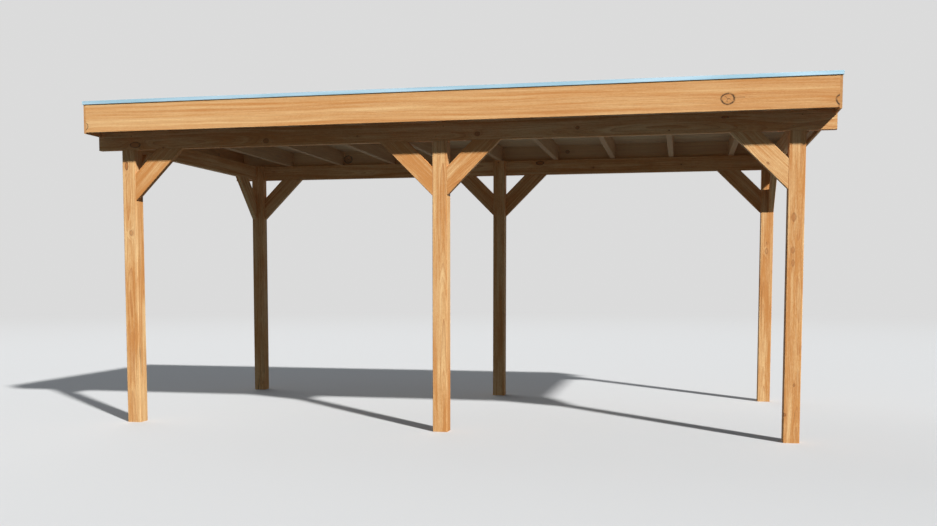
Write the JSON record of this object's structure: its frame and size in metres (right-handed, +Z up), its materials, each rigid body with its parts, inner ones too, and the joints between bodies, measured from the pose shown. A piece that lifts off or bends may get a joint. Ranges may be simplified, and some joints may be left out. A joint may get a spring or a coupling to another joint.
{
  "type": "timber carport",
  "caption": "Open timber carport with square posts, knee braces, beams, rafters, a flat boarded roof, deep fascia boards and a thin metal edge trim.",
  "frame": {"origin": "on the ground, under the middle of the roof", "axes": "+X along the long side to the viewer's right, +Y from the open front to the back, +Z up"},
  "size_m": [6.006, 3.066, 2.711],
  "materials": {
    "post_timber": "planed softwood, oiled",
    "beam_timber": "planed softwood",
    "brace_timber": "planed softwood",
    "rafter_timber": "sawn softwood",
    "roof_boarding": "planed boards",
    "fascia_timber": "planed boards, oiled",
    "roof_rubber": "matt rubber sheet",
    "edge_metal": "mill finish, dull"
  },
  "bodies": {
    "root": {"post_front_left": "post_timber", "post_front_middle": "post_timber", "post_front_right": "post_timber", "post_back_left": "post_timber", "post_back_middle": "post_timber", "post_back_right": "post_timber", "beam_front": "beam_timber", "beam_back": "beam_timber", "beam_left": "beam_timber", "beam_right": "beam_timber", "brace_front_left": "brace_timber", "brace_front_middle_left": "brace_timber", "brace_front_middle_right": "brace_timber", "brace_front_right": "brace_timber", "cross_brace_front_left": "brace_timber", "cross_brace_front_right": "brace_timber", "brace_back_left": "brace_timber", "brace_back_middle_left": "brace_timber", "brace_back_middle_right": "brace_timber", "brace_back_right": "brace_timber", "cross_brace_back_left": "brace_timber", "cross_brace_back_right": "brace_timber", "rafter_1": "rafter_timber", "rafter_2": "rafter_timber", "rafter_3": "rafter_timber", "rafter_4": "rafter_timber", "rafter_5": "rafter_timber", "rafter_6": "rafter_timber", "rafter_7": "rafter_timber", "rafter_8": "rafter_timber", "rafter_9": "rafter_timber", "rafter_10": "rafter_timber", "rafter_11": "rafter_timber", "roof_deck": "roof_boarding", "roof_sheet": "roof_rubber", "fascia_front": "fascia_timber", "trim_front": "edge_metal", "fascia_back": "fascia_timber", "trim_back": "edge_metal", "fascia_left": "fascia_timber", "trim_left": "edge_metal", "fascia_right": "fascia_timber", "trim_right": "edge_metal"}
  },
  "joints": []
}
